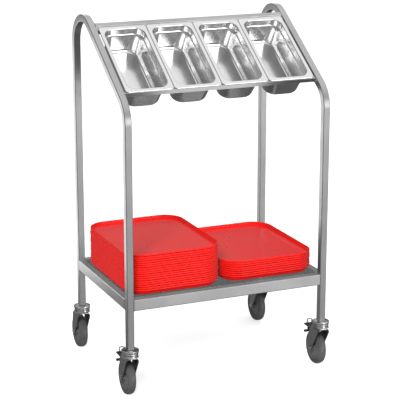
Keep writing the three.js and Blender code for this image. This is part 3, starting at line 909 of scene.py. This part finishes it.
def axle_bolt():
    """The axle bolt, with a washer and a hexagon at each end and its tip past the nut."""
    skin = Skin()
    place = Matrix.Translation((0, TRAIL, WHEEL_R)) @ SIDEWAYS
    skin.turned([(0, -25), (3.6, -25), (4, -24.5), (4, 24.5), (3.6, 25), (0, 25)], 24, place)
    for side in (-1, 1):
        turn = place @ Matrix.Rotation(0 if side > 0 else math.pi, 4, "X")
        skin.turned(
            [(4.0, 23.1), (9.4, 23.1), (9.9, 23.5), (9.9, 24.1), (9.4, 24.5), (4.0, 24.5)], 32, turn
        )
        hexagon = [
            (6.9 * math.cos(math.pi * k / 3), 6.9 * math.sin(math.pi * k / 3)) for k in range(6)
        ]
        skin.prism(rounded(hexagon, 0.7, 2), 24.5, 28.6, 0.7, turn)
        if side > 0:
            skin.turned([(0, 28), (4, 28), (4, 30.4), (3.3, 31), (0, 31)], 20, turn)
    return skin


def tyre():
    """The crowned tread and its two rounded sides."""
    profile = [
        (45.2, -13), (46.6, -13.2), (47.6, -14.4), (49.4, -15), (52.8, -15), (55.6, -14.6),
        (58.2, -13.2), (60.2, -10.8), (61.6, -7.4), (62.3, -3.6), (62.5, 0),
    ]
    profile += [(r, -z) for r, z in profile[-2::-1]]
    place = Matrix.Translation((0, TRAIL, WHEEL_R)) @ SIDEWAYS
    return Skin().turned(profile, WHEEL_SIDES, place)


def hub():
    """The wheel's centre: rim, dished web with a raised ring, and bearing boss."""
    profile = [
        (4.8, -18), (10.6, -18), (11.6, -17.4), (12, -16), (12.4, -9.5), (14, -8.2), (22, -8.6),
        (24, -9.6), (26, -9.6), (28, -8.4), (34, -8.0), (38.6, -9), (40.4, -12.2), (41.4, -13),
        (44.4, -13), (45, -12.4),
    ]
    profile += [(r, -z) for r, z in profile[::-1]]
    place = Matrix.Translation((0, TRAIL, WHEEL_R)) @ SIDEWAYS
    return Skin().turned(profile, WHEEL_SIDES, place)


def pedal_body():
    """The brake's foot lever: ribbed pad, side arms, spine and shoe."""
    skin = Skin()
    to_x = Matrix(((0, 0, 1, 0), (1, 0, 0, 0), (0, 1, 0, 0), (0, 0, 0, 1)))
    pad = rounded(
        [(44, 131.5), (95, 130), (101, 131), (101, 134.5), (95, 137), (64, 138.4), (44, 141)],
        1.4, 4,
    )
    skin.prism(pad, -20, 20, 1.2, to_x)
    for k in range(4):
        y = 68 + 5.6 * k
        rib = rounded([(y, 136), (y + 2.4, 136), (y + 2.0, 138.6), (y + 0.4, 138.7)], 0.5, 3)
        skin.prism(rib, -16, 16, 0.5, to_x)
    arm = rounded([(19, 130), (50, 129), (50, 141), (24, 141), (19, 138)], 2.5, 4)
    for x in (-19.8, 16.5):
        skin.prism(arm, x, x + 3.3, 0.6, to_x)
    spine = rounded([(91, 104), (96, 104), (95, 132), (91, 132)], 1.2, 3)
    skin.prism(spine, -8, 8, 0.8, to_x)
    shoe = rounded([(92.5, 101), (101, 101.5), (101, 109), (92.5, 110)], 1.6, 4)
    skin.prism(shoe, -20, 20, 1.2, to_x)
    return skin


def pedal_loop():
    """The stiff steel loop that stands at the pedal's end."""
    path = [(p[0], 94.0, 144.0 + p[1]) for p in ring(18.5, 15.5, 3.0, 0, 5)]
    section = rounded([(-1.5, -1.75), (1.5, -1.75), (1.5, 1.75), (-1.5, 1.75)], 0.7, 3)
    return Skin().swept(path, [(b, a) for a, b in section], Vector((0, 1, 0)))


for corner in ("front_left", "front_right", "rear_left", "rear_right"):
    label = "castor_" + corner
    swivel = JOINTS[label + "_swivel"]["pos_m"]
    axis = JOINTS[label + "_roll"]["axis"]
    yaw = math.atan2(axis[1], axis[0])
    place = Matrix.Translation((swivel[0], swivel[1], 0)) @ Matrix.Rotation(yaw, 4, "Z")
    piece(label + "_head", castor_mount(), BRIGHT_ZINC, place, "frame",
          [label + "_mount"])
    pressed = piece(label + "_fork_sheet", fork(), ZINC, place, label + "_swivel",
                    [label + "_fork"], is_sheet=True)
    wall = pressed.modifiers.new("sheet", "SOLIDIFY")
    wall.thickness = FORK_SHEET * MM
    wall.offset = -1
    edge = pressed.modifiers.new("edge", "BEVEL")
    edge.width = FORK_BEVEL * MM
    edge.segments = 2
    edge.limit_method = "ANGLE"
    edge.angle_limit = math.radians(50)
    piece(label + "_race", fork_race(), BRIGHT_ZINC, place, label + "_swivel")
    piece(label + "_bolt", axle_bolt(), BRIGHT_ZINC, place, label + "_swivel",
          [label + "_axle_bolt"])
    piece(label + "_centre", hub(), NYLON, place, label + "_wheel",
          [label + "_hub"])
    piece(label + "_tread", tyre(), RUBBER, place, label + "_wheel",
          [label + "_tyre"])
    if corner.startswith("front"):
        body = label + "_brake"
        piece(label + "_lever", pedal_body(), BLACK, place, body,
              [label + "_brake_pedal"])
        piece(label + "_loop", pedal_loop(), BRIGHT_ZINC, place, body)

# ------------------------------------------------------------------ floor and light

FLOOR_REACH = 40.0
FLOOR_GLOW = 0.68


def floor():
    """A plain pale floor that glows a little, so that shadows on it stay faint."""
    mesh = bpy.data.meshes.new("floor")
    r = FLOOR_REACH
    mesh.from_pydata([(-r, -r, 0), (r, -r, 0), (r, r, 0), (-r, r, 0)], [], [(0, 1, 2, 3)])
    look = Look("floor", Roughness=0.9)
    tone = look.noise(look.object_place(), 1.5, 2)
    look.put("Base Color", look.mixed(tone, rgb(0.82), rgb(0.85)))
    look.shader.inputs["Specular IOR Level"].default_value = 0.1
    look.shader.inputs["Emission Color"].default_value = (1, 1, 1, 1)
    look.shader.inputs["Emission Strength"].default_value = FLOOR_GLOW
    mesh.materials.append(look.material)
    plane = bpy.data.objects.new("floor", mesh)
    # Other surfaces don't reflect the floor.
    plane.visible_glossy = False
    bpy.context.scene.collection.objects.link(plane)


floor()


def softbox(name, position, target, size, power, spread=180, shines=True, only=()):
    """A rectangular lamp in metres and watts. only lists the objects it lights, or all if empty."""
    data = bpy.data.lights.new(name, "AREA")
    data.shape = "RECTANGLE"
    data.size, data.size_y = size
    data.energy = power
    data.spread = math.radians(spread)
    lamp = bpy.data.objects.new(name, data)
    lamp.location = position
    lamp.rotation_euler = (Vector(target) - Vector(position)).to_track_quat("-Z", "Y").to_euler()
    lamp.visible_camera = False
    lamp.visible_glossy = shines
    bpy.context.scene.collection.objects.link(lamp)
    if only:
        lit = bpy.data.collections.new(name + "_lights")
        for thing in only:
            lit.objects.link(thing)
        lamp.light_linking.receiver_collection = lit


def made_of(*looks):
    """The mesh objects whose first material is one of looks."""
    return [
        thing for thing in bpy.data.objects
        if thing.type == "MESH" and thing.data.materials and thing.data.materials[0] in looks
    ]


def named(start):
    """The objects whose names begin with start, CAD nodes among them."""
    return [thing for thing in bpy.data.objects if thing.name.startswith(start)]


# Each lamp below the key lights only the pieces that its line names.
softbox("key", (-2.6, -3.6, 3.4), (0, 0, 0.5), (1.6, 1.6), 29, 60, shines=False)
softbox("strip", (1.25, -3.5, 1.0), (0, -0.2, 0.6), (0.4, 1.4), 11, only=made_of(RED))
softbox("card", (-0.95, 1.35, 0.45), (-0.2, 0.0, 0.75), (1.2, 1.1), 6.5,
        only=made_of(FRAME_STEEL, WELD_STEEL))
softbox("rear_card", (1.1, 3.1, 2.2), (0, 0, 1.0), (1.6, 1.0), 12, only=named("side_frame"))
softbox("rail_card", (0.1, -0.3, 0.72), (0.0, -0.3, 1.0), (1.2, 0.4), 1.6, only=named("pan_rail_f"))
softbox("pan_card", (1.5, -2.9, 2.0), (0, 0, 1.1), (2.5, 1.6), 48, only=named("pan_"))
softbox("shelf_card", (0.35, -1.0, 0.06), (0, -0.25, 0.33), (1.3, 0.5), 0.9,
        only=named("shelf_rail_front"))
softbox("castor_card", (0.9, -2.2, 0.25), (0, 0, 0.12), (0.5, 0.4), 5,
        only=made_of(ZINC, BRIGHT_ZINC, RUBBER, NYLON))
softbox("tray_card", (1.0, 2.7, 1.6), (-0.05, 0, 0.45), (1.3, 0.8), 1.5, only=made_of(RED))

# Strengths of the surroundings by direction, and where the window's edge lies, as cosines.
ABOVE, AHEAD, BEHIND, BELOW = 1.06, 0.45, 0.2, 0.12
ABOVE_LEFT = 0.26
WINDOW_TOWARDS = (0.390, -0.919, 0.052)
WINDOW_EDGE = (0.951, 0.990)
WINDOW = 2.4


def studio():
    """Soft surroundings, by direction only.

    Bright above on the right and dim above on the left, dimmer behind than in front, darkest
    below, with one soft bright window low in front on the right.
    """
    world = bpy.data.worlds.new("studio")
    bpy.context.scene.world = world
    world.use_nodes = True
    world.cycles.sampling_method = "NONE"
    tree = world.node_tree
    back = tree.nodes["Background"]
    back.inputs["Color"].default_value = (1, 1, 1, 1)
    place = tree.nodes.new("ShaderNodeTexCoord").outputs["Generated"]
    split = tree.nodes.new("ShaderNodeSeparateXYZ")
    tree.links.new(place, split.inputs[0])

    def ranged(source, low, high, start, end):
        made = tree.nodes.new("ShaderNodeMapRange")
        made.interpolation_type = "SMOOTHSTEP"
        tree.links.new(source, made.inputs["Value"])
        keys = ("From Min", "From Max", "To Min", "To Max")
        for key, value in zip(keys, (low, high, start, end)):
            if isinstance(value, float):
                made.inputs[key].default_value = value
            else:
                tree.links.new(value, made.inputs[key])
        return made.outputs["Result"]

    horizon = ranged(split.outputs["Y"], -0.6, 0.2, AHEAD, BEHIND)
    overhead = ranged(split.outputs["X"], -0.38, 0.12, ABOVE_LEFT, ABOVE)
    level = ranged(split.outputs["Z"], 0.3, 0.8, horizon, overhead)
    level = ranged(split.outputs["Z"], -0.62, -0.22, BELOW, level)
    facing = tree.nodes.new("ShaderNodeVectorMath")
    facing.operation = "DOT_PRODUCT"
    tree.links.new(place, facing.inputs[0])
    facing.inputs[1].default_value = WINDOW_TOWARDS
    window = ranged(facing.outputs["Value"], *WINDOW_EDGE, 0.0, WINDOW)
    total = tree.nodes.new("ShaderNodeMath")
    tree.links.new(level, total.inputs[0])
    tree.links.new(window, total.inputs[1])
    tree.links.new(total.outputs[0], back.inputs["Strength"])


studio()
bpy.context.scene.view_settings.view_transform = "Standard"
